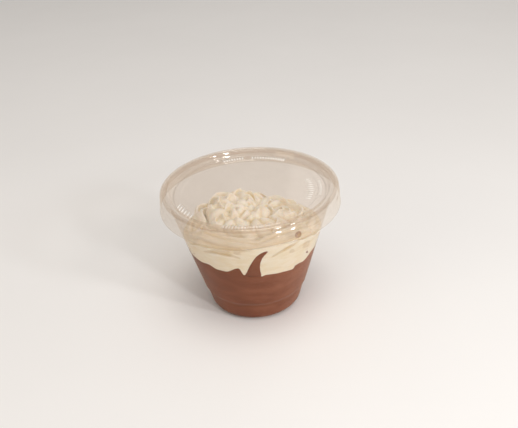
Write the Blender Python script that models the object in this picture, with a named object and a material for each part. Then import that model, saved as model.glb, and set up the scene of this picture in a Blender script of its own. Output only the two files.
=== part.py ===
"""Chocolate mousse under piped whipped cream, in a clear dessert cup with a press-on lid.

The cup stands on z = 0 with its axis along +Z, and its front faces -Y. Sizes are in metres.
Bearings round the axis are in degrees from the front, growing towards +X.
"""
from math import atan2, cos, degrees, exp, hypot, pi, radians, sin, sqrt

import bmesh
import bpy

# Driving dimensions
SEGMENTS = 60               # facets round the axis, the same on every piece
GAP = 0.0003                # clearance between pieces that touch

CUP_SHEET = 0.0006          # thickness of the cup's wall and floor
PUSH_UP_HEIGHT = 0.0010     # raised middle of the base
PUSH_UP_R = 0.0150
PUSH_UP_FOOT_R = 0.0168     # where the raised middle meets the resting ring
CORNER_R = 0.0053           # rounding between the base and the foot
FOOT_R = 0.0266             # foot, just above the rounded corner
FOOT_TOP_R = 0.0284
FOOT_TOP_Z = 0.0126
SHOULDER_R = 0.0297         # top of the small stacking shoulder, where the taper starts
SHOULDER_Z = 0.0148
WALL_TAPER = 0.2742         # growth in radius for each metre of height
ROLL_RADIUS = 0.00125       # rolled rim
ROLL_R = 0.04595
ROLL_Z = 0.0710

LID_SHEET = 0.00045
LID_PANEL_Z = 0.0690        # top face of the recessed panel
LID_STEP_R = 0.0370         # shallow step round the panel
LID_STEP_HEIGHT = 0.0004
LID_PLUG_R = 0.0418         # foot of the wall that rises from the panel to the bead
LID_BEAD_IN_R = 0.0434
LID_BEAD_OUT_R = 0.04795
LID_TOP_Z = 0.0730
LID_BEAD_IN_ROUND = 0.0011  # rounding of the bead's two edges
LID_BEAD_OUT_ROUND = 0.0014
LID_SKIRT_R = 0.0490        # lower edge of the skirt
LID_SKIRT_Z = 0.0626
DENT_COUNT = 8              # lock dents, pressed into the skirt under the rolled rim
DENT_DEPTH = 0.0009
DENT_Z = 0.0668
DENT_REACH = 0.0020         # how far a dent reaches above and below its middle
DENT_BEARING = -60.0

MOUSSE_LEVEL = 0.0390
MOUSSE_TILT = 0.0016        # the mousse stands higher at the left than at the right
SMEAR_BEARING = 8.0         # tip of the mousse that is dragged up the wall
SMEAR_TIP_Z = 0.0545
SMEAR_LEFT_FALL = 0.00094   # fall for each degree on the long side of the smear
SMEAR_RIGHT_FALL = 0.00400
SMEAR_DEPTH = 0.10          # part of the radius over which the smear fades inwards
# Low waves of the mousse along the wall: bearing, half width in degrees, rise
WAVES = ((-41.0, 5.0, 0.0014), (-14.0, 5.0, 0.0038), (32.0, 8.0, -0.0010), (115.0, 25.0, 0.0016))

CREAM_FRONT_Z = 0.0565      # highest contact of the cream with the wall, over the smear
CREAM_SIDE_Z = 0.0468
CREAM_BACK_Z = 0.0440
CREAM_FRONT_BEARING = 8.0
CREAM_UNEVEN = 0.0005       # height of the waves along the cream's edge
CREAM_WAVES = 3
BORDER_HEIGHT = 0.0042      # rounded piped border between the crown and the wall
CROWN_TOP_Z = 0.0612
CROWN_R = 0.0242
CROWN_SINK = 0.0040         # the crown sinks on one side
CROWN_SINK_BEARING = 150.0
PETALS = 10                 # ruffles of the piped crown
PETAL_DEPTH = 0.0024
PETAL_FULLNESS = 0.7        # below 1, the crests are broad and the grooves narrow
PETAL_TWIST = 55.0          # degrees that a petal turns from the middle to the edge
GROOVE_DEPTH = 0.0018
TIP_HEIGHT = 0.0010         # small peak where the nozzle was lifted off
TIP_REACH = 0.2             # part of the crown's radius that the peak takes

# Rings of points on the food's surfaces, as parts of the way out
MOUSSE_PARTS = (0.30, 0.55, 0.75, 0.88, 0.95, 1.0)
CROWN_PARTS = (0.2, 0.4, 0.6, 0.78, 0.9, 0.97, 1.0)
BORDER_PARTS = (0.2, 0.45, 0.7, 0.88, 1.0)


def clear_scene():
    for thing in list(bpy.data.objects):
        bpy.data.objects.remove(thing, do_unlink=True)


def material(name, colour, roughness, alpha=1.0):
    made = bpy.data.materials.new(name)
    made.use_nodes = True
    shader = made.node_tree.nodes["Principled BSDF"]
    shader.inputs["Base Color"].default_value = (*colour, 1.0)
    shader.inputs["Roughness"].default_value = roughness
    shader.inputs["Metallic"].default_value = 0.0
    shader.inputs["Alpha"].default_value = alpha
    return made


def arc(centre_r, centre_z, radius, start, end, steps):
    """Points of an arc in the (r, z) plane, in degrees from +r towards +z."""
    turns = [radians(start + (end - start) * i / steps) for i in range(steps + 1)]
    return [(centre_r + radius * cos(turn), centre_z + radius * sin(turn)) for turn in turns]


def wall_radius(z):
    """Outer radius of the tapered wall, above the stacking shoulder."""
    return SHOULDER_R + WALL_TAPER * (z - SHOULDER_Z)


def food_radius(z):
    """Radius of the food that lies against the inside of the tapered wall."""
    return wall_radius(z) - CUP_SHEET - GAP


def foot_profile(inset):
    """The base and the shoulder from the resting ring up, moved inwards by inset."""
    corner = arc(FOOT_R - CORNER_R, CORNER_R, CORNER_R - inset, -90, 0, 3)
    shoulder = [(FOOT_TOP_R - inset, FOOT_TOP_Z), (SHOULDER_R - inset, SHOULDER_Z)]
    return corner + shoulder


def floor_profile(lift):
    """The base from the axis to the resting ring, raised by lift."""
    high = PUSH_UP_HEIGHT + lift
    return [(0.0, high), (PUSH_UP_R, high), (PUSH_UP_FOOT_R, lift)]


def new_object(name, mesh_data, finish):
    bmesh.ops.remove_doubles(mesh_data, verts=mesh_data.verts[:], dist=1e-7)
    bmesh.ops.recalc_face_normals(mesh_data, faces=mesh_data.faces[:])
    mesh = bpy.data.meshes.new(name)
    mesh_data.to_mesh(mesh)
    mesh_data.free()
    mesh.shade_smooth()
    mesh.set_sharp_from_angle(angle=radians(50))
    mesh.materials.append(finish)
    piece = bpy.data.objects.new(name, mesh)
    bpy.context.scene.collection.objects.link(piece)
    return piece


def turned(profile):
    """Turn an (r, z) profile that starts and ends on the axis into a closed body."""
    mesh_data = bmesh.new()
    points = [mesh_data.verts.new((r, 0.0, z)) for r, z in profile]
    edges = [mesh_data.edges.new(pair) for pair in zip(points, points[1:])]
    bmesh.ops.spin(mesh_data, geom=points + edges, cent=(0, 0, 0), axis=(0, 0, 1),
                   angle=2 * pi, steps=SEGMENTS, use_merge=True)
    return mesh_data


def skinned(rings):
    """Close a stack of rings into one body. A ring is a list of points, or one pole."""
    mesh_data = bmesh.new()
    loops = [[mesh_data.verts.new(point) for point in ring] for ring in rings]
    for upper, lower in zip(loops, loops[1:]):
        for i in range(SEGMENTS):
            j = (i + 1) % SEGMENTS
            if len(upper) == 1:
                mesh_data.faces.new((upper[0], lower[i], lower[j]))
            elif len(lower) == 1:
                mesh_data.faces.new((upper[j], upper[i], lower[0]))
            else:
                mesh_data.faces.new((upper[j], upper[i], lower[i], lower[j]))
    # Both sides of a joint between two foods split their quads along the same diagonals.
    bmesh.ops.triangulate(mesh_data, faces=mesh_data.faces[:], quad_method="SHORT_EDGE")
    return mesh_data


def bearings():
    """Bearing of each column of points, starting at +X like a turned profile."""
    return [90.0 - 360.0 * i / SEGMENTS for i in range(SEGMENTS)]


def ring(place):
    """One ring of points, where place gives the radius and height at a bearing."""
    points = []
    for bearing in bearings():
        r, z = place(bearing)
        points.append((r * sin(radians(bearing)), -r * cos(radians(bearing)), z))
    return points


def turned_ring(r, z):
    return ring(lambda bearing: (r, z))


def apart(bearing, other):
    """Difference of two bearings, from -180 to 180."""
    return (bearing - other + 180.0) % 360.0 - 180.0


def mousse_edge(bearing):
    """Height of the mousse where it meets the wall."""
    height = MOUSSE_LEVEL - MOUSSE_TILT * sin(radians(bearing))
    for middle, half_width, rise in WAVES:
        height += rise * exp(-(apart(bearing, middle) / half_width) ** 2)
    return height


def smear(bearing):
    """Height of the mousse that is dragged up the wall."""
    off = apart(bearing, SMEAR_BEARING)
    fall = SMEAR_RIGHT_FALL * off if off > 0 else -SMEAR_LEFT_FALL * off
    return SMEAR_TIP_Z - fall


def mousse_top(bearing, part):
    """Height of the mousse at a part of the way from the axis to the wall."""
    inner = MOUSSE_LEVEL + (mousse_edge(bearing) - MOUSSE_LEVEL) * part ** 2
    rise = max(0.0, smear(bearing) - inner)
    return inner + rise * max(0.0, 1.0 - (1.0 - part) / SMEAR_DEPTH) ** 2


def mousse_point(bearing, part):
    height = mousse_top(bearing, part)
    return part * food_radius(height), height


def above_mousse(bearing, part):
    """A point of the cream's underside, straight above the mousse's own point."""
    r, height = mousse_point(bearing, part)
    return r, height + GAP


def crown_radius(bearing, out):
    """Edge of the piped crown, whose petals twist as they run outwards."""
    return CROWN_R + PETAL_DEPTH * petal(bearing, out)


def petal(bearing, out):
    """1 on the crest of a petal, -1 in the groove between two."""
    wave = cos(radians(PETALS * (bearing + PETAL_TWIST * out)))
    return 1.0 - 2.0 * ((1.0 - wave) / 2.0) ** PETAL_FULLNESS


def cream_edge(bearing):
    """Height of the cream where it meets the wall: a first wave round the cup lifts the front
    over the back, and a second one lowers both sides."""
    turn = radians(bearing - CREAM_FRONT_BEARING)
    ends = (CREAM_FRONT_Z + CREAM_BACK_Z) / 2
    tilt = (CREAM_FRONT_Z - CREAM_BACK_Z) / 2
    saddle = (ends - CREAM_SIDE_Z) / 2
    uneven = CREAM_UNEVEN * sin(CREAM_WAVES * turn)
    return ends - saddle + tilt * cos(turn) + saddle * cos(2 * turn) + uneven


def crown_point(bearing, part):
    """A point on the crown, part of the way from the axis to the crown's edge."""
    foot = cream_edge(bearing)
    dome = sqrt(max(0.0, 1.0 - part ** 4))
    groove = GROOVE_DEPTH * part * (1.0 - petal(bearing, part)) / 2
    sink = CROWN_SINK * part * max(0.0, cos(radians(bearing - CROWN_SINK_BEARING)))
    tip = TIP_HEIGHT * exp(-(part / TIP_REACH) ** 2)
    height = foot + (CROWN_TOP_Z - foot - groove - sink) * dome + tip
    return part * crown_radius(bearing, part), height


def border_point(bearing, part):
    """A point on the piped border, part of the way from the crown's edge to the wall."""
    foot = cream_edge(bearing)
    height = foot + BORDER_HEIGHT * sin(pi * part)
    inner = crown_radius(bearing, 1.0)
    return inner + (food_radius(foot) - inner) * part, height


def build_cup(finish):
    under_roll = ROLL_Z - ROLL_RADIUS
    roll = [(wall_radius(under_roll), under_roll)] + arc(ROLL_R, ROLL_Z, ROLL_RADIUS, -90, 150, 6)
    outside = floor_profile(0.0) + foot_profile(0.0) + roll
    inside_top = (wall_radius(ROLL_Z) - CUP_SHEET, ROLL_Z)
    inside = [inside_top] + foot_profile(CUP_SHEET)[::-1] + floor_profile(CUP_SHEET)[::-1]
    return new_object("cup", turned(outside + inside), finish)


def lid_profile(inset):
    """The lid from the axis to the skirt's edge, moved towards its underside by inset."""
    low = LID_PANEL_Z - inset
    high = low + LID_STEP_HEIGHT
    panel = [(0.0, low), (LID_STEP_R + inset, low), (LID_STEP_R + LID_STEP_HEIGHT + inset, high)]
    plug = [(LID_PLUG_R + inset, high)]
    inner = LID_BEAD_IN_ROUND
    outer = LID_BEAD_OUT_ROUND
    bead = arc(LID_BEAD_IN_R + inner, LID_TOP_Z - inner, inner - inset, 160, 90, 2)
    bead += arc(LID_BEAD_OUT_R - outer, LID_TOP_Z - outer, outer - inset, 90, 0, 3)
    return panel + plug + bead + skirt_profile(inset)


def skirt_profile(inset):
    """Rows of the skirt below the bead, close together where the lock dents are."""
    heights = (DENT_Z + DENT_REACH, DENT_Z, DENT_Z - DENT_REACH, LID_SKIRT_Z)
    top = LID_TOP_Z - LID_BEAD_OUT_ROUND
    flare = (LID_SKIRT_R - LID_BEAD_OUT_R) / (top - LID_SKIRT_Z)
    return [(LID_SKIRT_R - inset - flare * (z - LID_SKIRT_Z), z) for z in heights]


def press_dents(mesh_data):
    """Push the middle row of the skirt inwards at each lock dent."""
    for point in mesh_data.verts:
        r = hypot(point.co.x, point.co.y)
        if abs(point.co.z - DENT_Z) > 1e-5:
            continue
        bearing = degrees(atan2(point.co.x, -point.co.y))
        wave = cos(radians(DENT_COUNT * (bearing - DENT_BEARING)))
        pushed = (r - DENT_DEPTH * max(0.0, wave) ** 2) / r
        point.co.x *= pushed
        point.co.y *= pushed


def build_lid(finish):
    mesh_data = turned(lid_profile(0.0) + lid_profile(LID_SHEET)[::-1])
    press_dents(mesh_data)
    return new_object("lid", mesh_data, finish)


def build_mousse(finish):
    rings = [[(0.0, 0.0, MOUSSE_LEVEL)]]
    rings += [ring(lambda bearing, part=part: mousse_point(bearing, part)) for part in MOUSSE_PARTS]
    rings += [turned_ring(r, z) for r, z in foot_profile(CUP_SHEET + GAP)[::-1]]
    floor = floor_profile(CUP_SHEET + GAP)
    rings += [turned_ring(r, z) for r, z in floor[:0:-1]]
    rings.append([(0.0, 0.0, floor[0][1])])
    return new_object("mousse", skinned(rings), finish)


def build_cream(finish):
    rings = [[(0.0, 0.0, CROWN_TOP_Z + TIP_HEIGHT)]]
    rings += [ring(lambda bearing, part=part: crown_point(bearing, part)) for part in CROWN_PARTS]
    rings += [ring(lambda bearing, part=part: border_point(bearing, part)) for part in BORDER_PARTS]
    for part in reversed(MOUSSE_PARTS):
        rings.append(ring(lambda bearing, part=part: above_mousse(bearing, part)))
    rings.append([(0.0, 0.0, MOUSSE_LEVEL + GAP)])
    return new_object("cream", skinned(rings), finish)


def main():
    clear_scene()
    build_cup(material("clear_cup", (0.86, 0.80, 0.74), 0.08, alpha=0.25))
    build_mousse(material("chocolate_mousse", (0.20, 0.075, 0.045), 0.55))
    build_cream(material("whipped_cream", (0.80, 0.70, 0.56), 0.50))
    build_lid(material("clear_lid", (0.86, 0.80, 0.74), 0.10, alpha=0.30))


main()
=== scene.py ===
"""Looks of a chocolate mousse with piped cream, in a clear dessert cup under a clear lid."""
import random
from math import atan2, cos, degrees, exp, hypot, pi, radians, sin, tan

import bmesh
import bpy
import numpy as np
from mathutils import Matrix, Vector, noise


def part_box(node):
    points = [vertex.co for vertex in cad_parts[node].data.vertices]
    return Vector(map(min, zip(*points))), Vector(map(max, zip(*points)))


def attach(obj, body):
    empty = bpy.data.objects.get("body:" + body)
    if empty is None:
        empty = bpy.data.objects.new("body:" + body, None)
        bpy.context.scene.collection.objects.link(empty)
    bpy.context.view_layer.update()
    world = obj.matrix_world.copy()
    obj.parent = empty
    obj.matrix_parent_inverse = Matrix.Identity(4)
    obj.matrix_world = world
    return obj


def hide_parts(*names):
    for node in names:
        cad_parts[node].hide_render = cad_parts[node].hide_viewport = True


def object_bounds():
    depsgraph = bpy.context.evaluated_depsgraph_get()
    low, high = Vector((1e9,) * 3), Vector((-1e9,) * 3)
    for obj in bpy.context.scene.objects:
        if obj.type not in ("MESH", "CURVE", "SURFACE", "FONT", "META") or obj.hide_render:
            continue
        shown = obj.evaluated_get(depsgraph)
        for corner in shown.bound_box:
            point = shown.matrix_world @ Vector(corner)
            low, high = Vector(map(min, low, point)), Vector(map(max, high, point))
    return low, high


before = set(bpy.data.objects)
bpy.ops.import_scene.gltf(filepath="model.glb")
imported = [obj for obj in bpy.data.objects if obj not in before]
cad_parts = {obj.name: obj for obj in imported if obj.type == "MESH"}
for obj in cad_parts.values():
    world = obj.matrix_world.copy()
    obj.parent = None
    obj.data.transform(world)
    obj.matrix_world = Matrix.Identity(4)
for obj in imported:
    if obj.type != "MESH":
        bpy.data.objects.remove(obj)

cad_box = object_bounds()
scene = bpy.context.scene
MM = 0.001

# The frame's own places
cup_low, cup_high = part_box("cup")
lid_low, lid_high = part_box("lid")
AXIS = Vector(((cup_low.x + cup_high.x) / 2, (cup_low.y + cup_high.y) / 2, cup_low.z))
RIM_Z = cup_high.z
RIM_R = (cup_high.x - cup_low.x) / 2
LID_TOP = lid_high.z
LID_EDGE = lid_low.z

# Cup: outer surface, as in the construction
SHEET = 0.45 * MM
SHOULDER_R, SHOULDER_Z = 29.7 * MM, 14.8 * MM
FOOT_TOP_R, FOOT_TOP_Z = 28.4 * MM, 12.6 * MM
FOOT_R = 25.3 * MM
CORNER = 5.3 * MM                # rounding between the base and the foot
TAPER = 0.2742                   # how much the wall's radius grows with height
PUSH_UP = 1.0 * MM               # how far the middle of the base is pushed up
PUSH_UP_R, RING_R = 15.0 * MM, 16.8 * MM   # where the push-up ends and the resting ring begins
FOOD_BITE = 0.16 * MM            # how far the mousse reaches into the wall


def smooth(low, high, value):
    """0 below low, 1 above high, with soft ends."""
    part = min(1.0, max(0.0, (value - low) / (high - low)))
    return part * part * (3 - 2 * part)


def apart(bearing, other):
    """Difference of two bearings in degrees, from -180 to 180."""
    return (bearing - other + 180.0) % 360.0 - 180.0


def at(r, bearing, z):
    """A point by radius, bearing from the front towards +X, and height."""
    turn = radians(bearing)
    return (AXIS.x + r * sin(turn), AXIS.y - r * cos(turn), z)


def direction(bearing, elevation):
    """Unit vector from the object towards a bearing and an elevation."""
    turn, rise = radians(bearing), radians(elevation)
    return Vector((sin(turn) * cos(rise), -cos(turn) * cos(rise), sin(rise)))


def wall_r(z):
    """Outer radius of the cup's tapered wall."""
    return SHOULDER_R + TAPER * (z - SHOULDER_Z)


def eased(places, bearing):
    """Value at a bearing, eased between (bearing, value) places that go once round from -180."""
    places = list(places) + [(180, places[0][1])]
    bearing = apart(bearing, 0.0)
    for (b0, z0), (b1, z1) in zip(places, places[1:]):
        if b0 <= bearing <= b1:
            return z0 + (z1 - z0) * smooth(b0, b1, bearing)
    return places[-1][1]


# ---------------------------------------------------------------- shapes

def rounded(corners, steps=6):
    """An (r, z) path through corners (r, z, rounding), with each corner as an arc."""
    path = []
    for i, (r, z, rounding) in enumerate(corners):
        here = Vector((r, z))
        if rounding == 0 or i in (0, len(corners) - 1):
            path.append(here)
            continue
        back = (Vector(corners[i - 1][:2]) - here).normalized()
        ahead = (Vector(corners[i + 1][:2]) - here).normalized()
        half = back.angle(ahead) / 2
        start = here + back * (rounding / tan(half))
        end = here + ahead * (rounding / tan(half))
        centre = here + (back + ahead).normalized() * (rounding / sin(half))
        for k in range(steps + 1):
            spoke = (start - centre).lerp(end - centre, k / steps)
            path.append(centre + spoke.normalized() * rounding)
    return path


def sheet(path, thickness):
    """Both faces of a thin sheet whose middle follows the path from the axis to its free edge."""
    upper, lower = [], []
    for i, point in enumerate(path):
        along = path[min(i + 1, len(path) - 1)] - path[max(i - 1, 0)]
        side = Vector((-along.y, along.x)).normalized() * thickness / 2
        if i == 0:
            side.x = 0.0
        upper.append(point + side)
        lower.append(point - side)
    return upper + lower[::-1]


def show(name, mesh, finish):
    """A mesh as a smooth visible piece, which rides on the part's one body."""
    mesh.shade_smooth()
    mesh.materials.append(finish)
    piece = bpy.data.objects.new(name, mesh)
    scene.collection.objects.link(piece)
    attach(piece, "root")
    return piece


def new_piece(name, points, faces, finish):
    """A visible piece made from points and faces."""
    mesh = bpy.data.meshes.new(name)
    mesh.from_pydata([tuple(p) for p in points], [], faces)
    mesh.validate()
    return show(name, mesh, finish)


def turned(profile, segments):
    """Points and faces of a profile turned round the axis; its two ends lie on the axis."""
    points = [(AXIS.x, AXIS.y, profile[0].y)]
    for p in profile[1:-1]:
        points += [at(p.x, 360.0 * k / segments, p.y) for k in range(segments)]
    points.append((AXIS.x, AXIS.y, profile[-1].y))
    return points, stack_faces(len(profile) - 2, segments)


def stack_faces(rings, segments):
    """Faces of a stack of rings between two poles, point 0 and the last point."""
    last = 1 + rings * segments
    faces = []
    for k in range(segments):
        n = (k + 1) % segments
        faces.append((0, 1 + k, 1 + n))
        for ring in range(rings - 1):
            a = 1 + ring * segments
            faces.append((a + k, a + segments + k, a + segments + n, a + n))
        a = 1 + (rings - 1) * segments
        faces.append((a + n, a + k, last))
    return faces


def face_outwards(piece):
    """Turn the faces of every closed shell in a piece outwards."""
    mesh_data = bmesh.new()
    mesh_data.from_mesh(piece.data)
    bmesh.ops.recalc_face_normals(mesh_data, faces=mesh_data.faces[:])
    mesh_data.to_mesh(piece.data)
    mesh_data.free()


def joined(parts):
    """One list of points and faces from several."""
    points, faces = [], []
    for some_points, some_faces in parts:
        start = len(points)
        points += some_points
        faces += [tuple(start + i for i in face) for face in some_faces]
    return points, faces


def rope(path, radii, ridges=0, depth=0.0, twist=0.0, sides=30):
    """A closed tube along a path, with ridges like those that a star nozzle leaves."""
    points = [tuple(path[0])]
    for i, here in enumerate(path):
        along = (path[min(i + 1, len(path) - 1)] - path[max(i - 1, 0)]).normalized()
        across = along.cross(Vector((0, 0, 1))).normalized()
        up = across.cross(along)
        for k in range(sides):
            turn = 2 * pi * k / sides
            notch = abs(sin(ridges * turn / 2 + twist * i))
            r = radii[i] * (1 - depth * (1 - notch) ** 1.5)
            points.append(tuple(here + (across * cos(turn) + up * sin(turn)) * r))
    points.append(tuple(path[-1]))
    return points, stack_faces(len(path), sides)


# ---------------------------------------------------------------- cup

RIM_ROLL = 1.25 * MM             # outer radius of the rolled rim
ROLL_STEPS = 14
SEGMENTS = 288                   # of the cup and the lid, once round


def cup_path():
    """Middle of the cup's sheet, from the axis out to the end of the rolled rim."""
    half = SHEET / 2
    roll_r, roll_z = RIM_R - RIM_ROLL, RIM_Z - RIM_ROLL
    path = rounded((
        (0.0, PUSH_UP + half, 0),
        (PUSH_UP_R, PUSH_UP + half, 1.0 * MM),
        (RING_R, half, 1.0 * MM),
        (FOOT_R - half, half, CORNER - half),
        (FOOT_TOP_R - half, FOOT_TOP_Z, 1.1 * MM),
        (SHOULDER_R - half, SHOULDER_Z, 1.1 * MM),
        (wall_r(roll_z) - half, roll_z, 0),
    ))
    for k in range(ROLL_STEPS + 1):
        turn = radians(165 - 300 * k / ROLL_STEPS)
        path.append(Vector((roll_r, roll_z)) + Vector((cos(turn), sin(turn))) * (RIM_ROLL - half))
    return path


def make_cup(finish):
    """The cup's shell, with its inner and its outer face."""
    outline = sheet(finer(cup_path(), 2.0 * MM), SHEET)
    points, faces = turned(outline, SEGMENTS)
    cup = new_piece("cup_shell", points, faces, finish)
    face_outwards(cup)
    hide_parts("cup")


def finer(path, longest):
    """The same path with no stretch longer than longest."""
    fine = [path[0]]
    for here in path[1:]:
        before = fine[-1]
        count = max(1, int((here - before).length / longest) + 1)
        fine += [before.lerp(here, k / count) for k in range(1, count + 1)]
    return fine


# ---------------------------------------------------------------- lid

LID_SHEET = 0.40 * MM
LID_PANEL = LID_TOP - 4.0 * MM       # top face of the recessed panel
LID_LEDGE = LID_PANEL + 0.35 * MM    # the ledge round the panel, which carries the ribs
DENTS, FIRST_DENT = 8, -60           # lock dents in the skirt, and the bearing of one of them
DENT_DEPTH = 0.8 * MM
DENT_Z, DENT_HALF_HEIGHT = LID_EDGE + 4.2 * MM, 1.6 * MM
SKIRT_R = 46.0 * MM                  # the dents lie outside this radius
# Rows of grip ribs on the ledge, from bearing to bearing
GRIP_ROWS = ((-21, -6), (1, 12), (148, 176), (184, 200))
HATCH_BEARING, HATCH_PITCH = -61.0, 4.0
HATCH_LINE = Vector((0.35, 0.94, 0.0)).normalized() * 2.6 * MM   # half of one slanting bar


def lid_path():
    """Middle of the lid's sheet, from the axis out to the edge of the skirt."""
    half = LID_SHEET / 2
    top = LID_TOP - half
    return rounded((
        (0.0, LID_PANEL - half, 0),
        (36.8 * MM, LID_PANEL - half, 0.3 * MM),
        (37.3 * MM, LID_LEDGE - half, 0.3 * MM),
        (41.3 * MM, LID_LEDGE - half, 0.2 * MM),
        (41.6 * MM, LID_LEDGE - half + 0.5 * MM, 0.2 * MM),
        (42.2 * MM, LID_LEDGE - half + 0.6 * MM, 0.5 * MM),
        (43.4 * MM, top - 0.1 * MM, 0.9 * MM),
        (44.5 * MM, top, 0.3 * MM),
        (44.9 * MM, top - 0.35 * MM, 0.3 * MM),
        (45.5 * MM, top - 0.35 * MM, 0.3 * MM),
        (45.9 * MM, top, 0.3 * MM),
        (47.75 * MM, top, 1.4 * MM),
        (48.00 * MM, top - 2.3 * MM, 0.3 * MM),
        (47.72 * MM, top - 2.8 * MM, 0.3 * MM),
        (48.10 * MM, top - 3.4 * MM, 0.3 * MM),
        (48.20 * MM, top - 4.6 * MM, 0.3 * MM),
        (47.95 * MM, top - 5.1 * MM, 0.3 * MM),
        (48.30 * MM, top - 5.7 * MM, 0.3 * MM),
        (48.50 * MM, LID_EDGE + 1.6 * MM, 1.5 * MM),
        (48.8 * MM, LID_EDGE, 0),
    ))


def make_lid(finish):
    """The lid's shell, with lock dents pressed into its skirt."""
    outline = sheet(finer(lid_path(), 1.2 * MM), LID_SHEET)
    points, faces = turned(outline, SEGMENTS)
    pressed = []
    for x, y, z in points:
        r = hypot(x - AXIS.x, y - AXIS.y)
        bearing = degrees(atan2(x - AXIS.x, AXIS.y - y))
        if r > SKIRT_R:
            wave = max(0.0, cos(radians(DENTS * (bearing - FIRST_DENT)))) ** 6
            r -= DENT_DEPTH * wave * exp(-((z - DENT_Z) / DENT_HALF_HEIGHT) ** 2)
        pressed.append(at(r, bearing, z))
    lid = new_piece("lid_shell", pressed, faces, finish)
    face_outwards(lid)
    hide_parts("lid")


def bar(start, end, half_width, height):
    """A low rounded bar lying between two points."""
    start, end = Vector(start), Vector(end)
    side = (end - start).cross(Vector((0, 0, 1))).normalized() * half_width
    up = Vector((0, 0, height))
    points = []
    for place in (start, end):
        for k in range(7):
            turn = pi * k / 6
            points.append(tuple(place + side * cos(turn) + up * (sin(turn) - 0.3)))
    faces = [(k, k + 1, k + 8, k + 7) for k in range(6)]
    faces += [(6, 0, 7, 13), tuple(range(6, -1, -1)), tuple(range(7, 14))]
    return points, faces


def radial_bars(first, last, pitch, r_in, r_out, z, half_width, height):
    """Radial bars side by side, from one bearing to another."""
    count = int(round((last - first) / pitch)) + 1
    parts = []
    for k in range(count):
        bearing = first + pitch * k
        parts.append(bar(at(r_in, bearing, z), at(r_out, bearing, z), half_width, height))
    return parts


def hatch(count):
    """A patch of slanting bars on the left of the ledge."""
    parts = []
    for k in range(count):
        bearing = HATCH_BEARING + HATCH_PITCH * (k - (count - 1) / 2)
        middle = Vector(at(39.4 * MM, bearing, LID_LEDGE))
        parts.append(bar(middle - HATCH_LINE, middle + HATCH_LINE, 0.27 * MM, 0.34 * MM))
    return parts


def make_ribs(finish):
    """Moulded ribs: grip rows and a hatched patch on the ledge, and two rows of fine ticks at the right."""
    parts = []
    for first, last in GRIP_ROWS:
        parts += radial_bars(first, last, 2.3, 38.2 * MM, 41.2 * MM, LID_LEDGE, 0.42 * MM, 0.40 * MM)
    parts += hatch(6)
    parts += radial_bars(66, 104, 3.8, 31.6 * MM, 34.6 * MM, LID_PANEL, 0.22 * MM, 0.18 * MM)
    parts += radial_bars(74, 97, 1.9, 37.9 * MM, 39.0 * MM, LID_LEDGE, 0.20 * MM, 0.18 * MM)
    points, faces = joined(parts)
    new_piece("lid_ribs", points, faces, finish)


# ---------------------------------------------------------------- mousse

# Where the mousse ends along the wall: bearing in degrees, height in mm
MOUSSE_EDGE = (
    (-180, 40.0), (-152, 41.2), (-124, 39.8), (-96, 41.6), (-72, 40.6), (-52, 41.0), (-41, 42.2),
    (-33, 40.4), (-25, 40.4), (-13, 44.2), (-9.2, 38.9), (-6, 41.6), (0, 42.2), (3.4, 41.4),
    (5.2, 37.2), (9, 38.0), (22, 37.2), (35, 36.1), (37.2, 38.0), (41, 38.2), (47, 37.4),
    (60, 40.0), (76, 38.6), (98, 40.4), (124, 39.0), (150, 41.4),
)
# The smear that is dragged up the wall: bearing, height in mm, half its width in mm
SMEAR = ((-1.2, 38.0, 3.9), (-1.0, 41.0, 3.4), (0.0, 44.5, 2.7), (1.6, 48.0, 2.1),
         (3.6, 51.0, 1.75), (6.0, 53.0, 1.35), (8.4, 54.2, 0.9), (9.9, 54.7, 0.4))
MOUSSE_LEVEL = 39.0 * MM
MOUSSE_COLUMNS, SIDE_RINGS = 720, 28
SIDE_FOOT = SHOULDER_Z + 1.5 * MM    # where the mousse's straight side ends


def mousse_edge(bearing):
    """Height of the mousse's edge on the wall."""
    return eased(MOUSSE_EDGE, bearing) * MM


def food_r(z):
    """Radius of food pressed against the tapered wall, a little way into its sheet."""
    return wall_r(z) - SHEET + FOOD_BITE


def mousse_rings():
    """(radius, height) of each ring as functions of the bearing, from the top down."""
    rings = []
    for part in (0.35, 0.7, 0.86, 0.93, 0.965, 0.985):
        rings.append(lambda b, part=part: mousse_top_point(b, part))
    for k in range(SIDE_RINGS):
        rings.append(lambda b, down=k / SIDE_RINGS: mousse_side_point(b, down))
    half = SHEET - FOOD_BITE
    foot = rounded((
        (food_r(SIDE_FOOT), SIDE_FOOT, 0),
        (SHOULDER_R - half, SHOULDER_Z, 1.2 * MM),
        (FOOT_TOP_R - half, FOOT_TOP_Z, 1.6 * MM),
        (FOOT_R - half, half, CORNER - half),
        (RING_R, half, 1.0 * MM),
        (PUSH_UP_R, PUSH_UP + half, 1.0 * MM),
        (2.0 * MM, PUSH_UP + half, 0),
    ))
    rings += [lambda b, p=p: (p.x, p.y) for p in finer(foot, 1.5 * MM)]
    return rings


def mousse_top_point(bearing, part):
    """Radius and height on the mousse's top, a part of the way from the axis to the wall."""
    edge = mousse_edge(bearing)
    z = MOUSSE_LEVEL + (edge - MOUSSE_LEVEL) * smooth(0.86, 1.0, part)
    return part * food_r(z), z


def mousse_side_point(bearing, down):
    """Radius and height on the mousse's side, a part of the way down, with its upper edge rounded off."""
    edge = mousse_edge(bearing)
    z = edge + (SIDE_FOOT - edge) * down
    return food_r(z) - 0.5 * MM * exp(-((edge - z) / (0.25 * MM)) ** 2), z


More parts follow.
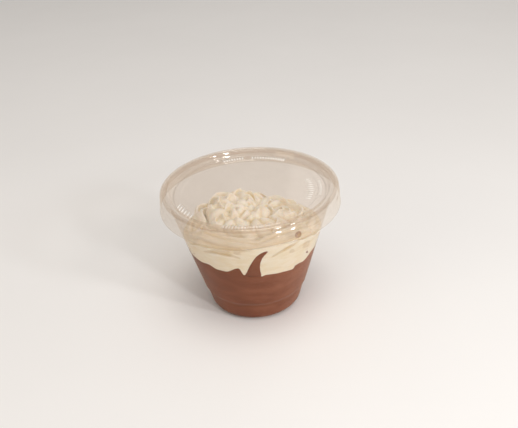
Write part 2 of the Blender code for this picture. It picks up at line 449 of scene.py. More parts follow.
def smear_part():
    """The smear as a flattened rope that lies against the wall."""
    places = [SMEAR[0]]
    for before, after in zip(SMEAR, SMEAR[1:]):
        places += [[a + (b - a) * k / 5 for a, b in zip(before, after)] for k in range(1, 6)]
    path = [Vector(at(food_r(z * MM) - 0.3 * MM, b, z * MM)) for b, z, w in places]
    points, faces = rope(path, [w * MM for b, z, w in places], sides=40)
    pressed = []
    for x, y, z in points:
        r = hypot(x - AXIS.x, y - AXIS.y)
        deep = food_r(z) - 0.9 * MM
        near = min(r, food_r(z) + 0.02 * MM) if r > deep else deep - (deep - r) * 0.35
        pressed.append(at(near, degrees(atan2(x - AXIS.x, AXIS.y - y)), z))
    return pressed, faces


def make_mousse(finish):
    """The mousse up to its uneven edge, and the smear above it."""
    points = [(AXIS.x, AXIS.y, MOUSSE_LEVEL)]
    rings = mousse_rings()
    for ring in rings:
        for k in range(MOUSSE_COLUMNS):
            bearing = -180 + 360.0 * k / MOUSSE_COLUMNS
            r, z = ring(bearing)
            points.append(at(r, bearing, z))
    points.append((AXIS.x, AXIS.y, PUSH_UP + SHEET - FOOD_BITE))
    body = (points, stack_faces(len(rings), MOUSSE_COLUMNS))
    points, faces = joined((body, smear_part()))
    mousse = new_piece("mousse_fill", points, faces, finish)
    face_outwards(mousse)
    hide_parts("mousse")


# ---------------------------------------------------------------- cream

# Highest place where the cream touches the wall: bearing in degrees, height in mm
CREAM_EDGE = (
    (-180, 43.6), (-140, 44.6), (-105, 45.6), (-78, 47.4), (-57, 50.6), (-42, 54.4), (-27, 56.0),
    (-14, 56.6), (-4, 57.4), (12, 58.4), (27, 58.0), (44, 54.6), (62, 50.6), (90, 47.0), (135, 44.4),
)
# Height of the cream where the crown stands on it, inside CORE_R
CREAM_SHELF = ((-180, 47.2), (-120, 50.2), (-60, 51.8), (0, 52.4), (60, 51.4), (120, 48.4))
CORE_R = 24.0 * MM
# Folds that the cream keeps against the wall: (bearing, height in mm) from end to end
FOLDS = (
    ((-43, 50.4), (-32, 52.4), (-27, 52.7), (-16, 52.1), (-9, 50.4)),
    ((12, 49.4), (15, 50.4), (20, 52.0), (25, 52.9), (32, 54.3), (39, 56.4)),
)
FOLD_WIDTH, FOLD_DEPTH = 0.75 * MM, 0.8 * MM
# Places where it stands off the wall: bearing and half width in degrees, height and half height in mm
SLACK = ((-30, 15, 55.6, 2.0), (6, 6, 59.2, 1.6), (-10, 9, 57.0, 2.2), (30.5, 3, 49.6, 1.4),
         (46, 5, 48.6, 3.2))
SLACK_DEPTH = 0.22 * MM
MOST_LEAN = 7.0 * MM             # how far the cream leans away from the wall at most
# Painted shade: the cream is painted darker in troughs up to about this wide
SHADED_TROUGH_WIDTH = 5.0 * MM          # troughs up to about this wide take a deeper tone
# Painted shade: how much darker the cream is painted where it stands off the wall
OFF_WALL_SHADE = 0.07             # how much duller the cream looks where it isn't pressed flat
CREAM_FLOOR = MOUSSE_LEVEL + 0.3 * MM
# Strokes of the border: the bearing where each starts, and how far it goes round, in degrees
STROKES = ((-84, 106), (4, 60), (58, 56), (104, 62), (152, 62), (200, 60), (240, 56))
STROKE_TOP = 53.5                # highest edge, in mm, that a stroke of the border follows
CREAM_LOW = 35.0 * MM            # the cream's foot at the wall, behind the edge of the mousse
CREAM_BITE = 0.08 * MM           # the cream reaches less far into the wall than the mousse
BORDER_VOXEL, CROWN_VOXEL = 0.52 * MM, 0.43 * MM
# Rings of folds on the crown: how many, then radius, top, width and height in mm, then the first bearing
# and how far a fold may turn from lying along the ring, in degrees
CROWN_RINGS = (
    (9, 29.6, 55.6, 19.0, 4.2, 14.0, 9), (9, 26.2, 57.2, 17.0, 4.6, 30.0, 14),
    (11, 21.2, 60.2, 10.5, 6.8, 4.0, 45), (9, 16.4, 61.9, 9.8, 7.4, 17.0, 50),
    (6, 11.0, 62.3, 9.2, 7.4, 8.0, 50), (4, 5.6, 62.4, 7.6, 6.6, 25.0, 50),
)
UP = Vector((0, 0, 1))


def dollop(rng, start, length, count=34):
    """One thick stroke of the piped border, which moves inwards as it goes round the cup."""
    plump = rng.uniform(0.92, 1.06)
    path, radii = [], []
    for k in range(count + 1):
        part = k / count
        bearing = start + length * part
        edge = min(eased(CREAM_EDGE, bearing), STROKE_TOP) * MM
        high = smooth(44 * MM, 52 * MM, edge)
        radius = (5.8 + 1.6 * high) * MM * plump * (0.45 + 0.55 * sin(pi * min(1.0, 0.12 + part)) ** 0.5)
        z = edge - (1.0 + 1.8 * (1 - part)) * MM
        r = wall_r(z) - SHEET - radius + (0.9 - 1.6 * part) * MM
        path.append(Vector(at(r, bearing, z)))
        radii.append(radius)
    return rope(path, radii, ridges=8, depth=0.24, twist=0.03, sides=64)


def crown_level(bearing, r):
    """How far the crown lies below its full height: most at the back right, and a little at the back."""
    sunk = 5.0 * smooth(0.45, 1.0, cos(radians(bearing - 128)))
    behind = 0.4 * smooth(138, 172, abs(apart(bearing, 0))) * smooth(15 * MM, 22 * MM, r)
    return -(sunk + behind) * MM


def ribbon(path, widths, heights, leans, sides=32):
    """A ridge of cream along a path, wide at its foot and thin at its crest, which may lean over."""
    points = [tuple(path[0])]
    for i, here in enumerate(path):
        along = (path[min(i + 1, len(path) - 1)] - path[max(i - 1, 0)]).normalized()
        across = along.cross(UP).normalized()
        for k in range(sides):
            turn = 2 * pi * k / sides
            high = max(0.0, sin(turn))
            side = cos(turn) * (1 - 0.78 * high ** 1.3)
            points.append(tuple(here + across * (side * widths[i] + leans[i] * high ** 2)
                                + UP * (sin(turn) * heights[i])))
    points.append(tuple(path[-1]))
    return points, stack_faces(len(path), sides)


def pleated_ring(rng, count, ring_r, z, radius, depth, lean, first, columns=480, sides=56):
    """A thick ring of cream whose face lies in uneven pleats, which lean as they climb over it."""
    cuts = [first + 360.0 * (k + rng.uniform(-0.24, 0.24)) / count for k in range(count)]
    swells = [rng.uniform(-0.05, 0.16) for k in range(count)]
    lifts = [rng.uniform(-1.4, 1.2) * MM for k in range(count)]
    points = []
    for column in range(columns):
        bearing = 360.0 * column / columns
        for side in range(sides):
            turn = 2 * pi * side / sides
            pleat, part = pleat_at(cuts, bearing + lean * sin(turn))
            crest = sin(pi * part) ** 0.55
            r = radius * (1 - depth + (depth + swells[pleat]) * crest)
            out = ring_r + r * cos(turn)
            level = crown_level(bearing, ring_r) + lifts[pleat] * crest * max(0.0, sin(turn))
            points.append(at(out, bearing, z + level + r * sin(turn)))
    faces = []
    for column in range(columns):
        here, ahead = column * sides, (column + 1) % columns * sides
        for side in range(sides):
            after = (side + 1) % sides
            faces.append((here + side, ahead + side, ahead + after, here + after))
    return points, faces


def pleat_at(cuts, bearing):
    """Which pleat a bearing lies in, and how far along it, from 0 to 1."""
    for k, start in enumerate(cuts):
        length = (cuts[(k + 1) % len(cuts)] - start) % 360.0
        along = (bearing - start) % 360.0
        if along < length:
            return k, along / length
    return 0, 0.0


def petal(rng, r, bearing, top, width, height, swing, count=16):
    """A short curved fold of cream with a thin domed crest, which leans towards the axis."""
    top += crown_level(bearing, r)
    middle = Vector(at(r, bearing, top - height))
    out = direction(bearing + rng.uniform(-swing, swing), 0)
    along = UP.cross(out)
    curl = width * rng.uniform(0.10, 0.42)
    lean = rng.uniform(-0.4, 2.4) * MM
    thick = rng.uniform(1.7, 2.5) * MM
    path, widths, heights, leans = [], [], [], []
    for k in range(count + 1):
        part = k / count
        dome = sin(pi * min(max(part, 0.02), 0.98)) ** 0.7
        path.append(middle + along * width * (part - 0.5) + out * curl * (sin(pi * part) - 0.6)
                    + UP * 0.9 * MM * (part - 0.5))
        widths.append(thick * (0.45 + 0.55 * dome) * (1 + 0.14 * sin(5 * pi * part)))
        heights.append(height * (0.30 + 0.70 * dome))
        leans.append(-lean * dome)
    return ribbon(path, widths, heights, leans)


def petals(rng, count, r, top, width, height, first, swing):
    """Folds side by side round the crown, no two of them alike."""
    parts = []
    for k in range(count):
        bearing = first + 360.0 * (k + rng.uniform(-0.28, 0.28)) / count
        parts.append(petal(rng, r + rng.uniform(-1.2, 1.2) * MM, bearing, top - rng.uniform(0, 1.3) * MM,
                           width * rng.uniform(0.8, 1.2), height * rng.uniform(0.85, 1.1), swing))
    return parts


def core_profile(bearing):
    """Outline of the cream under the piping at one bearing, from the axis out and down the wall."""
    edge = eased(CREAM_EDGE, bearing) * MM
    shelf = eased(CREAM_SHELF, bearing) * MM
    outline = [(CORE_R * part, shelf) for part in (0.25, 0.5, 0.75)]
    for k in range(12):
        part = k / 12
        outline.append((CORE_R + (wall_r(edge) - CORE_R) * part, edge + (shelf - edge) * (1 - part ** 2)))
    for k in range(13):
        z = edge + (CREAM_LOW - edge) * k / 12
        outline.append((wall_r(z), z))
    return outline


def cream_core(columns=180):
    """What lies under the piping, down to the mousse."""
    profiles = [core_profile(-180 + 360.0 * k / columns) for k in range(columns)]
    rings = len(profiles[0])
    points = [at(0, 0, eased(CREAM_SHELF, 0) * MM)]
    for ring in range(rings):
        points += [at(profile[ring][0], -180 + 360.0 * k / columns, profile[ring][1])
                   for k, profile in enumerate(profiles)]
    points.append(at(0, 0, CREAM_LOW))
    return points, stack_faces(rings, columns)


def coil(r_out, z_out, z_in, radius, turns):
    """A rope wound inwards, which carries the folds."""
    count = int(60 * turns)
    path, radii = [], []
    for k in range(count + 1):
        part = k / count
        bearing = 200 + 360.0 * turns * part
        r = r_out * (1 - part) ** 0.9 + 0.8 * MM
        z = z_out + (z_in - z_out) * part + crown_level(bearing, r)
        path.append(Vector(at(r, bearing, z + 0.5 * MM * sin(radians(5 * bearing)))))
        radii.append(radius * (1 + 0.08 * sin(radians(7 * bearing))))
    return rope(path, radii, ridges=6, depth=0.2, twist=0.06, sides=40)


def border_parts(rng):
    """The core and the strokes of the piped border."""
    parts = [cream_core()]
    for start, length in STROKES:
        parts.append(dollop(rng, start, length))
    return parts


def crown_parts(rng):
    """The piped crown: two pleated rings on a coil, covered in rings of folds."""
    parts = [coil(r_out=18.0 * MM, z_out=49.5 * MM, z_in=54.5 * MM, radius=4.2 * MM, turns=3.2)]
    parts.append(pleated_ring(rng, 17, ring_r=17.4 * MM, z=52.4 * MM, radius=6.6 * MM,
                              depth=0.34, lean=13.0, first=6.0))
    parts.append(pleated_ring(rng, 9, ring_r=7.2 * MM, z=54.0 * MM, radius=5.4 * MM,
                              depth=0.36, lean=-20.0, first=20.0))
    for count, r, top, width, height, first, swing in CROWN_RINGS:
        parts += petals(rng, count, r * MM, top * MM, width * MM, height * MM, first, swing)
    return parts


def melted(parts, voxel):
    """Many overlapping closed shapes melted into one soft surface."""
    points, faces = joined(parts)
    mesh = bpy.data.meshes.new("strokes")
    mesh.from_pydata(points, [], faces)
    source = bpy.data.objects.new("strokes", mesh)
    scene.collection.objects.link(source)
    melt = source.modifiers.new("melt", "REMESH")
    melt.mode = "VOXEL"
    melt.voxel_size = voxel
    soften = source.modifiers.new("soften", "SMOOTH")
    soften.factor = 0.5
    soften.iterations = 1
    graph = bpy.context.evaluated_depsgraph_get()
    made = bpy.data.meshes.new_from_object(source.evaluated_get(graph))
    bpy.data.objects.remove(source)
    keep_largest(made)
    return made


def keep_largest(mesh):
    """Leave only the largest connected part of a mesh."""
    mesh_data = bmesh.new()
    mesh_data.from_mesh(mesh)
    left, groups = set(mesh_data.verts), []
    while left:
        group, edge_of_group = set(), [left.pop()]
        while edge_of_group:
            vert = edge_of_group.pop()
            group.add(vert)
            near = {edge.other_vert(vert) for edge in vert.link_edges} & left
            left -= near
            edge_of_group += near
        groups.append(group)
    groups.sort(key=len)
    stray = [vert for group in groups[:-1] for vert in group]
    bmesh.ops.delete(mesh_data, geom=stray, context="VERTS")
    mesh_data.to_mesh(mesh)
    mesh_data.free()


def fold_depth(bearing, z):
    """Depth of the folds in the cream's face at the wall, for arrays of bearings and heights."""
    depth = np.zeros_like(z)
    for fold in FOLDS:
        knots = [knot[0] for knot in fold]
        middle = np.interp(bearing, knots, [knot[1] * MM for knot in fold])
        ends = np.clip((bearing - knots[0]) / 12, 0, 1) * np.clip((knots[-1] - bearing) / 9, 0, 1)
        ends *= 0.75 + 0.25 * np.sin(np.radians(bearing * 31))
        off = (z - middle) / FOLD_WIDTH
        shape = np.where(off > 0, np.exp(-off ** 2 * 0.35), np.exp(-off ** 2 * 1.6))
        depth = np.maximum(depth, FOLD_DEPTH * shape * ends)
    wave = np.sin(np.radians(bearing * 23)) * 0.35 + np.sin(np.radians(bearing * 9) + z / MM * 1.7) * 0.35
    for middle, half_width, level, half_height in SLACK:
        away = ((bearing - middle) / half_width) ** 2 + ((z - level * MM) / (half_height * MM) + wave) ** 2
        depth = np.maximum(depth, SLACK_DEPTH * np.exp(-away))
    return depth


def wall_gap(x, y, z):
    """How far the cream stands off the wall: not at all below its edge, more and more above it."""
    bearing = np.degrees(np.arctan2(x, -y))
    ring = list(CREAM_EDGE) + [(180, CREAM_EDGE[0][1])]
    edge = np.interp(bearing, [b for b, top in ring], [top * MM for b, top in ring])
    ripple = 0.5 * MM * np.sin(np.radians(bearing * 11)) * np.sin(np.radians(bearing * 3 + 40))
    above = np.maximum(0.0, z - edge - ripple)
    lean = np.minimum(above ** 2 / (5.0 * MM) + 0.25 * above, MOST_LEAN)
    return lean + fold_depth(bearing, z)


def round_axis(co):
    """Offsets from the axis, heights and radii of points, and the radius of a pressed face there."""
    x, y, z = co[:, 0] - AXIS.x, co[:, 1] - AXIS.y, co[:, 2]
    return x, y, z, np.hypot(x, y), wall_r(z) - SHEET + CREAM_BITE


def standing_off(co):
    """1 where the cream's outer face stands clear of the wall, and 0 where it is pressed to it."""
    r, wall = round_axis(co)[3:]
    return np.clip((wall - r) / (0.5 * MM), 0.0, 1.0) * (r > wall - 1.6 * MM)


def press_into_cup(co):
    """Flatten the cream where it meets the wall, and rest it on the mousse."""
    x, y, z, r, wall = round_axis(co)
    inner = r < wall - 2.2 * MM
    z = np.where(inner, np.maximum(z, CREAM_FLOOR), z)
    pressed = np.minimum(r, wall - wall_gap(x, y, z)) / np.maximum(r, 1e-9)
    return np.stack([AXIS.x + x * pressed, AXIS.y + y * pressed, z], 1)


def vertex_vectors(mesh, kind):
    """The places ("co") or the normals ("normal") of a mesh's points, one row each."""
    values = np.empty(len(mesh.vertices) * 3, dtype=np.float32)
    mesh.vertices.foreach_get(kind, values)
    return values.reshape(-1, 3).astype(np.float64)


def hollow_shade(mesh, reach):
    """How deep each point lies in a hollow, 0.5 on even ground and more in a hollow; this sets how much
    painted shade the point gets.
    """
    co, normal = vertex_vectors(mesh, "co"), vertex_vectors(mesh, "normal")
    count = len(co)
    edges = np.empty(len(mesh.edges) * 2, dtype=np.int64)
    mesh.edges.foreach_get("vertices", edges)
    a, b = edges[0::2], edges[1::2]
    near = np.bincount(a, minlength=count) + np.bincount(b, minlength=count)
    mean = co.copy()
    for step in range(reach):
        total = np.zeros_like(mean)
        for axis in range(3):
            total[:, axis] = (np.bincount(a, mean[b, axis], count)
                              + np.bincount(b, mean[a, axis], count))
        mean = total / np.maximum(near, 1)[:, None]
    depth = ((mean - co) * normal).sum(1) / MM
    return np.clip(0.5 + 0.5 * depth, 0.0, 1.0)


def make_cream(name, parts, voxel, finish):
    """A piece of cream from its strokes, pressed into the cup, with the painted shade of its troughs marked
    for the finish.
    """
    mesh = melted(parts, voxel)
    co = press_into_cup(vertex_vectors(mesh, "co"))
    mesh.vertices.foreach_set("co", co.astype(np.float32).ravel())
    mesh.update()
    painted_shade = mesh.attributes.new("painted_shade", "FLOAT", "POINT")
    # Painted shade: hollows, and places that stand off the wall, are marked to be painted darker
    depth = hollow_shade(mesh, int(SHADED_TROUGH_WIDTH / voxel)) + OFF_WALL_SHADE * standing_off(co)
    painted_shade.data.foreach_set("value", depth.astype(np.float32))
    mesh.name = name
    mesh.materials.clear()
    cream = show(name, mesh, finish)
    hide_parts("cream")


# ---------------------------------------------------------------- small bits

def lump(middle, size, flat, rng):
    """A small uneven blob, flattened towards the axis of the cup."""
    mesh_data = bmesh.new()
    bmesh.ops.create_icosphere(mesh_data, subdivisions=3, radius=1.0)
    outwards = Vector((middle[0] - AXIS.x, middle[1] - AXIS.y, 0)).normalized()
    shift = Vector([rng.uniform(0, 50) for axis in range(3)])
    points = []
    for vert in mesh_data.verts:
        bulge = 1 + 0.22 * noise.noise(vert.co * 1.3 + shift)
        place = vert.co * bulge * size
        place -= outwards * place.dot(outwards) * (1 - flat)
        points.append(tuple(Vector(middle) + place))
    faces = [tuple(v.index for v in face.verts) for face in mesh_data.faces]
    mesh_data.free()
    return points, faces


# Crumbs of mousse on the wall: bearing in degrees, height and radius in mm
SPECKS = ((37.2, 37.2, 0.55), (49.3, 42.8, 0.8), (51.5, 41.6, 0.5), (-59.0, 43.4, 0.5), (-64.0, 45.0, 0.4))
DAB_BEARING, DAB_Z, DAB_SIZE = 33.4, 60.5 * MM, 1.95 * MM


def make_specks(finish):
    """Crumbs of mousse caught along the edge of the cream."""
    rng = random.Random(5)
    parts = []
    for bearing, z, size in SPECKS:
        middle = at(food_r(z * MM) - 0.15 * MM, bearing, z * MM)
        parts.append(lump(middle, size * MM, 0.3, rng))
    points, faces = joined(parts)
    specks = new_piece("mousse_specks", points, faces, finish)
    face_outwards(specks)


def dab_middle():
    """Where the dab sits, just inside the wall."""
    return at(food_r(DAB_Z) - 0.15 * MM, DAB_BEARING, DAB_Z)


def make_dab(finish):
    """A thin dab of mousse and cream mixed, on the inside of the wall."""
    points, faces = lump(dab_middle(), DAB_SIZE, 0.3, random.Random(8))
    dab = new_piece("wall_dab", points, faces, finish)
    face_outwards(dab)


# ---------------------------------------------------------------- finishes

PLUG_R, BEAD_R = 43.4 * MM, 46.4 * MM      # the lid's sheet turns cloudier from its plug to its bead
CUP_TINT, CUP_VEIL = (0.950, 0.930, 0.912), (0.70, 0.60, 0.51)
LID_TINT, LID_VEIL = (0.980, 0.962, 0.945), (0.85, 0.73, 0.57)
LID_RIM_TINT, LID_RIM_HAZE = (0.966, 0.950, 0.935), 0.100
# Painted glints: the ribs' near-white veil makes the clear ribs read as bright ticks of caught light
RIB_TINT, RIB_GLINT_VEIL = (0.99, 0.98, 0.97), (1.0, 0.98, 0.94)
# Painted shade of the cream: tones from its crests to its deepest hollows, which are painted darker and
# yellower
BORDER_SHADED_TONES = ((0.900, 0.835, 0.710), (0.850, 0.755, 0.580), (0.780, 0.645, 0.420), (0.670, 0.495, 0.270))
# Painted light: the crown's tones are a lighter copy of the border's, for the light that falls on its top
CROWN_LIT_TONES = ((0.970, 0.935, 0.865), (0.890, 0.820, 0.690), (0.790, 0.670, 0.430), (0.680, 0.520, 0.270))
SHADE_TONE_PLACES = (0.34, 0.52, 0.70, 0.95)


def node(tree, kind, inputs=None, **settings):
    """A new node with its settings, and with values or links on its inputs."""
    made = tree.nodes.new(kind)
    for name, value in settings.items():
        setattr(made, name, value)
    for socket, value in (inputs or {}).items():
        if isinstance(value, bpy.types.NodeSocket):
            tree.links.new(value, made.inputs[socket])
        else:
            made.inputs[socket].default_value = value
    return made


def blank(name):
    """A material with an empty node tree, and the place in metres on the object."""
    finish = bpy.data.materials.new(name)
    finish.use_nodes = True
    finish.node_tree.nodes.clear()
    place = node(finish.node_tree, "ShaderNodeTexCoord").outputs["Object"]
    return finish, finish.node_tree, place


def speckle(tree, place, scale, detail=3.0, roughness=0.55, stretch=None):
    """Noise from 0 to 1, with features about 1 / scale metres across."""
    if stretch:
        place = node(tree, "ShaderNodeMapping", {"Vector": place, "Scale": stretch}).outputs["Vector"]
    return node(tree, "ShaderNodeTexNoise", {"Vector": place, "Scale": scale, "Detail": detail,
                                             "Roughness": roughness}).outputs["Fac"]


def ramp(tree, value, stops):
    """Colours by value, from (position, colour) stops."""
    made = node(tree, "ShaderNodeValToRGB", {"Fac": value})
    while len(made.color_ramp.elements) < len(stops):
        made.color_ramp.elements.new(0.5)
    for element, (position, colour) in zip(made.color_ramp.elements, stops):
        element.position = position
        element.color = (*colour, 1.0)
    return made.outputs["Color"]


def span(tree, value, low, high, out_low, out_high):
    """The value moved from one range to another."""
    return node(tree, "ShaderNodeMapRange", {"Value": value, "From Min": low, "From Max": high,
                                             "To Min": out_low, "To Max": out_high}).outputs["Result"]


def math(tree, operation, a, b):
    """A sum, product or power of two values."""
    return node(tree, "ShaderNodeMath", {0: a, 1: b}, operation=operation).outputs["Value"]


def by_radius(tree, place, inner, outer):
    """A value inside the lid's plug that turns into another from the bead outwards."""
    flat = node(tree, "ShaderNodeVectorMath", {0: place, 1: (1.0, 1.0, 0.0)}, operation="MULTIPLY")
    radius = node(tree, "ShaderNodeVectorMath", {0: flat.outputs[0]}, operation="LENGTH").outputs["Value"]
    return span(tree, radius, PLUG_R, BEAD_R, inner, outer)


def clear_plastic(name, tint, veil, haze, gloss_roughness, wave_height, mirrored, outline, rim=None):
    """Thin clear sheet. Most light goes straight through. Part of it turns into a pale veil and part is
    mirrored, and both shares grow at the outlines, where the sheet is seen at a slant. A lid's rim, given
    as its tint and haze, is a little more clouded than its panel."""
    finish, tree, place = blank(name)
    wavy = speckle(tree, place, 45.0, 2.0)
    fine = speckle(tree, place, 900.0, 3.0)
    ripple = math(tree, "ADD", wavy, math(tree, "MULTIPLY", fine, 0.06))
    bump = node(tree, "ShaderNodeBump", {"Height": ripple, "Strength": 0.35,
                                         "Distance": wave_height}).outputs["Normal"]
    facing = node(tree, "ShaderNodeLayerWeight", {"Blend": 0.5, "Normal": bump}).outputs["Facing"]
    slant = math(tree, "POWER", facing, 4.0)
    through = node(tree, "ShaderNodeBsdfTransparent", {"Color": (*tint, 1.0)})
    cloud = span(tree, speckle(tree, place, 120.0, 4.0), 0.3, 0.7, haze * 0.8, haze * 1.2)
    if rim:
        outwards = by_radius(tree, place, 0.0, 1.0)
        tree.links.new(ramp(tree, outwards, ((0.0, tint), (1.0, rim[0]))), through.inputs["Color"])
        cloud = math(tree, "ADD", cloud, math(tree, "MULTIPLY", outwards, rim[1] - haze))
    cloud = math(tree, "ADD", cloud, math(tree, "MULTIPLY", slant, outline[0]))
    tone = ramp(tree, speckle(tree, place, 60.0), ((0.3, veil), (0.7, tuple(c * 0.95 for c in veil))))
    pale = node(tree, "ShaderNodeBsdfPrincipled", {
        "Base Color": tone, "Roughness": 0.6, "Specular IOR Level": 0.1, "Normal": bump})
    body = node(tree, "ShaderNodeMixShader", {0: cloud, 1: through.outputs[0], 2: pale.outputs[0]})
    rough = span(tree, wavy, 0.3, 0.7, gloss_roughness * 0.8, gloss_roughness * 1.3)
    mirror = node(tree, "ShaderNodeBsdfAnisotropic", {
        "Color": (1.0, 0.98, 0.96, 1.0), "Roughness": rough, "Normal": bump})
    share = span(tree, slant, 0.0, 1.0, mirrored, outline[1])
    whole = node(tree, "ShaderNodeMixShader", {0: share, 1: body.outputs[0], 2: mirror.outputs[0]})
    node(tree, "ShaderNodeOutputMaterial", {"Surface": whole.outputs[0]})
    return finish


def mousse_finish():
    """Soft brown with faint clouds and pores, and painted light: a little paler towards the right, where
    the lamps stand.
    """
    finish, tree, place = blank("chocolate_mousse_finish")
    cloud = speckle(tree, place, 70.0, 4.0, 0.6, (1.0, 1.0, 2.4))
    # Painted light: the tone grows paler towards the right, on the side of the lamps
    aside = node(tree, "ShaderNodeSeparateXYZ", {0: place}).outputs["X"]
    cloud_and_lit_side = math(tree, "ADD", cloud, span(tree, aside, -5 * MM, 30 * MM, 0.0, 0.34))
    tone = ramp(tree, cloud_and_lit_side, ((0.30, (0.186, 0.062, 0.030)), (0.50, (0.222, 0.075, 0.038)),
                             (0.72, (0.275, 0.104, 0.058)), (0.95, (0.350, 0.146, 0.086))))
    pores = node(tree, "ShaderNodeTexVoronoi", {"Vector": place, "Scale": 650.0}).outputs["Distance"]
    grain = math(tree, "ADD", span(tree, pores, 0.0, 0.25, 0.0, 0.15), speckle(tree, place, 260.0))
    bump = node(tree, "ShaderNodeBump", {"Height": grain, "Strength": 0.08,
                                         "Distance": 0.03 * MM}).outputs["Normal"]
    rough = span(tree, cloud, 0.3, 0.7, 0.44, 0.60)
    shader = node(tree, "ShaderNodeBsdfPrincipled", {
        "Base Color": tone, "Roughness": rough, "Normal": bump, "Specular IOR Level": 0.12,
        "Subsurface Weight": 0.08, "Subsurface Radius": (1.0, 0.45, 0.25), "Subsurface Scale": 0.8 * MM})
    node(tree, "ShaderNodeOutputMaterial", {"Surface": shader.outputs[0]})
    return finish


def dab_finish():
    """Caramel brown, paler in the middle, where the dab is mostly cream."""
    finish, tree, place = blank("wall_dab_finish")
    away = node(tree, "ShaderNodeVectorMath", {0: place, 1: dab_middle()}, operation="DISTANCE")
    uneven = math(tree, "MULTIPLY", speckle(tree, place, 500.0, 2.0), 0.8 * MM)
    edge = math(tree, "ADD", away.outputs["Value"], uneven)
    tone = ramp(tree, span(tree, edge, 0.8 * MM, 2.0 * MM, 0.0, 1.0),
                ((0.0, (0.42, 0.225, 0.032)), (1.0, (0.30, 0.110, 0.008))))
    shader = node(tree, "ShaderNodeBsdfPrincipled", {
        "Base Color": tone, "Roughness": 0.45, "Subsurface Weight": 0.1,
        "Subsurface Radius": (1.0, 0.6, 0.3), "Subsurface Scale": 0.5 * MM})
    node(tree, "ShaderNodeOutputMaterial", {"Surface": shader.outputs[0]})
    return finish


def cream_finish(name, shade_tones):
    """Whipped cream in four tones, with painted shade: the deeper a place lies in a hollow, the darker and
    yellower it is painted.
    """
    finish, tree, place = blank(name)
    painted_shade = node(tree, "ShaderNodeAttribute", attribute_name="painted_shade").outputs["Fac"]
    streaks = speckle(tree, place, 110.0, 4.0, 0.6, (1.0, 1.0, 3.0))
    depth = math(tree, "ADD", painted_shade, span(tree, streaks, 0.25, 0.75, -0.16, 0.16))
    tone = ramp(tree, depth, tuple(zip(SHADE_TONE_PLACES, shade_tones)))
    foam = node(tree, "ShaderNodeTexVoronoi", {"Vector": place, "Scale": 1100.0}).outputs["Distance"]
    grain = math(tree, "ADD", math(tree, "MULTIPLY", foam, 0.35), speckle(tree, place, 420.0, 4.0))
    bump = node(tree, "ShaderNodeBump", {"Height": grain, "Strength": 0.22,
                                         "Distance": 0.12 * MM}).outputs["Normal"]
    rough = span(tree, speckle(tree, place, 200.0), 0.3, 0.7, 0.42, 0.58)
    shader = node(tree, "ShaderNodeBsdfPrincipled", {
        "Base Color": tone, "Roughness": rough, "Normal": bump, "Specular IOR Level": 0.4,
        "Subsurface Weight": 0.25, "Subsurface Radius": (1.0, 0.75, 0.5), "Subsurface Scale": 1.5 * MM})
    node(tree, "ShaderNodeOutputMaterial", {"Surface": shader.outputs[0]})
    return finish


def floor_finish():
    finish, tree, place = blank("floor_finish")
    tone = ramp(tree, speckle(tree, place, 6.0), ((0.3, (0.87, 0.855, 0.84)), (0.7, (0.89, 0.875, 0.86))))
    shader = node(tree, "ShaderNodeBsdfPrincipled", {"Base Color": tone, "Roughness": 0.8,
                                                     "Specular IOR Level": 0.2})
    node(tree, "ShaderNodeOutputMaterial", {"Surface": shader.outputs[0]})
    return finish


# ---------------------------------------------------------------- stage

CAMERA_ELEVATION = 32.3
CAMERA_DISTANCE = 0.3898
CAMERA_ROLL = 3.97               # the camera leans, so the right side of the cup looks higher
CAMERA_LENS = 48.05
AIM_RIGHT, AIM_UP = 3.4 * MM, 15.2 * MM    # the object sits left of and below the middle
FLOOR_HALF = 3.0
SKY_COLOUR, SKY_STRENGTH = (1.0, 0.962, 0.922, 1.0), 0.47


def make_camera():
    """The camera looks down on the front of the object, and is rolled a little."""
    middle = (cad_box[0] + cad_box[1]) / 2
    back = direction(0, CAMERA_ELEVATION)
    place = middle + back * CAMERA_DISTANCE
    roll = Matrix.Rotation(radians(-CAMERA_ROLL), 3, back)
    right = roll @ Vector((1, 0, 0))
    up = back.cross(right)
    sight = (middle + right * AIM_RIGHT + up * AIM_UP - place).normalized()
    side = sight.cross(up).normalized()
    top = side.cross(sight)
    turned_to = Matrix((side, top, -sight)).transposed()
    data = bpy.data.cameras.new("camera")
    data.lens = CAMERA_LENS
    data.sensor_width = 36.0
    data.clip_start, data.clip_end = 0.01, 20.0
    camera = bpy.data.objects.new("camera", data)
    camera.matrix_world = Matrix.Translation(place) @ turned_to.to_4x4()
    scene.collection.objects.link(camera)
    scene.camera = camera


def soft_light(name, bearing, elevation, distance, width, height, power, colour):
    """A flat lamp of a width and height in metres and a power in watts, which faces the object."""
    data = bpy.data.lights.new(name, "AREA")
    data.shape = "RECTANGLE"
    data.size, data.size_y = width, height
    data.energy = power
    data.color = colour
    light = bpy.data.objects.new(name, data)
    towards = direction(bearing, elevation)
    light.location = Vector((0, 0, 0.04)) + towards * distance
    light.rotation_mode = "QUATERNION"
    light.rotation_quaternion = towards.to_track_quat("Z", "Y")
    scene.collection.objects.link(light)


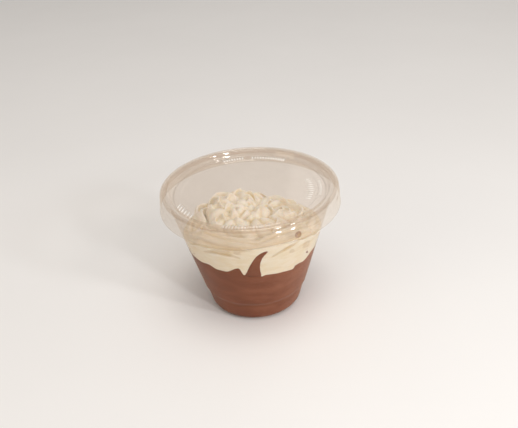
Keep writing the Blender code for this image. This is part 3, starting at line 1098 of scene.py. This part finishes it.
def make_stage():
    """The floor, the soft sky and the lamps."""
    mesh = bpy.data.meshes.new("floor")
    z = cad_box[0].z - 0.1 * MM
    corners = [(-1, -1), (1, -1), (1, 1), (-1, 1)]
    mesh.from_pydata([(x * FLOOR_HALF, y * FLOOR_HALF, z) for x, y in corners], [], [(0, 1, 2, 3)])
    mesh.materials.append(floor_finish())
    floor = bpy.data.objects.new("floor", mesh)
    scene.collection.objects.link(floor)
    world = bpy.data.worlds.new("studio")
    world.use_nodes = True
    sky = world.node_tree.nodes["Background"]
    sky.inputs["Color"].default_value = SKY_COLOUR
    sky.inputs["Strength"].default_value = SKY_STRENGTH
    scene.world = world
    soft_light("window", 50, 27, 0.80, 0.07, 0.10, 1.30, (0.98, 0.985, 1.0))
    soft_light("other_window", 31, 28, 0.80, 0.06, 0.10, 1.30, (0.98, 0.985, 1.0))
    soft_light("warm_wall", -58, 24, 1.20, 0.6, 0.5, 1.1, (1.0, 0.86, 0.68))
    soft_light("ceiling", 20, 75, 1.20, 0.7, 0.7, 5.2, (1.0, 0.97, 0.94))
    soft_light("far_wall", 158, 30, 1.30, 0.7, 0.5, 0.5, (1.0, 0.96, 0.92))


scene.view_settings.view_transform = "Standard"
scene.cycles.transparent_max_bounces = 40    # a line of sight can cross many clear sheets
make_camera()
make_stage()
cup_clear = clear_plastic("clear_cup_finish", CUP_TINT, CUP_VEIL, haze=0.008, gloss_roughness=0.06,
                          wave_height=0.05 * MM, mirrored=0.008, outline=(0.12, 0.08))
lid_clear = clear_plastic("clear_lid_finish", LID_TINT, LID_VEIL, haze=0.045, gloss_roughness=0.07,
                          wave_height=0.06 * MM, mirrored=0.040, outline=(0.25, 0.30),
                          rim=(LID_RIM_TINT, LID_RIM_HAZE))
# Painted glints: the clear ribs are made nearly opaque white, to show the light that they catch
rib_glints = clear_plastic("clear_rib_finish", RIB_TINT, RIB_GLINT_VEIL, haze=0.95, gloss_roughness=0.20,
                          wave_height=0.02 * MM, mirrored=0.020, outline=(0.05, 0.20))
brown = mousse_finish()
make_cup(cup_clear)
make_mousse(brown)
# Painted light and shade: one cream in two copies, the crown's painted lighter than the border's
shaded_border_cream = cream_finish("whipped_cream_finish", BORDER_SHADED_TONES)
lit_crown_cream = cream_finish("whipped_crown_finish", CROWN_LIT_TONES)
make_cream("cream_fill", border_parts(random.Random(11)), BORDER_VOXEL, shaded_border_cream)
make_cream("cream_crown", crown_parts(random.Random(23)), CROWN_VOXEL, lit_crown_cream)
make_specks(brown)
make_dab(dab_finish())
make_lid(lid_clear)
make_ribs(rib_glints)
